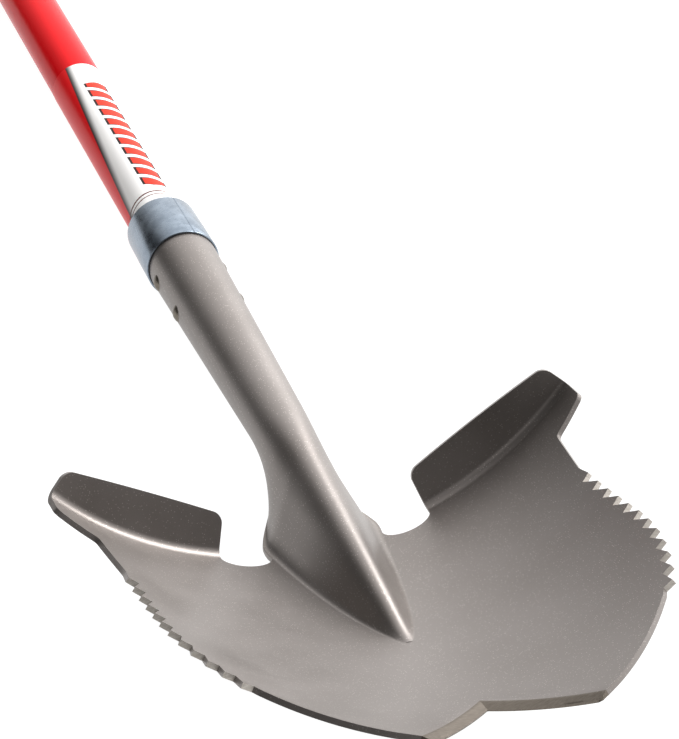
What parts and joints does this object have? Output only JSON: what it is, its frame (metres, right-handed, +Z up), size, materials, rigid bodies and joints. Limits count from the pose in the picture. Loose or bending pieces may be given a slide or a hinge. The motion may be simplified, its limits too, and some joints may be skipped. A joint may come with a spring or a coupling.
{
  "type": "detecting shovel",
  "caption": "Long-handled digging shovel with a saw-edged, V-notched steel blade, rolled foot treads, a riveted tubular socket, a resin-jacketed shaft and a D-grip.",
  "frame": {"origin": "bottom centre of the whole shovel as it lies on its back on the ground", "axes": "+Y up the shaft to the grip, +Z up, out of the blade's hollow face, +X to the right of the blade seen from the hollow side with the grip away"},
  "size_m": [0.2762, 1.1915, 0.0934],
  "materials": {
    "blade_coat": "satin metallic grey powder coat, ground bare on the teeth and points",
    "zinc_plate": "bright zinc plate",
    "rivet_steel": "satin powder coat over steel",
    "red_resin": "glossy red resin",
    "core_steel": "drawn steel tube",
    "plug_wood": "turned ash",
    "label_film": "printed plastic film",
    "grip_nylon": "moulded glass-filled nylon",
    "bare_steel": "zinc-plated steel",
    "grip_rubber": "soft moulded rubber"
  },
  "bodies": {
    "root": {"blade": "blade_coat", "socket": "blade_coat", "ferrule": "zinc_plate", "rivet_upper": "rivet_steel", "rivet_lower": "rivet_steel", "shaft_jacket": "red_resin", "shaft_core": "core_steel", "lower_plug": "plug_wood", "upper_plug": "plug_wood", "label": "label_film", "grip_yoke": "grip_nylon", "yoke_rivets": "bare_steel", "crossbar_tube": "bare_steel", "grip_sleeve": "grip_rubber", "crossbar_bolt": "bare_steel", "crossbar_nut": "bare_steel", "washer_left": "bare_steel", "washer_right": "bare_steel", "cap_left": "grip_nylon", "cap_right": "grip_nylon"}
  },
  "joints": []
}
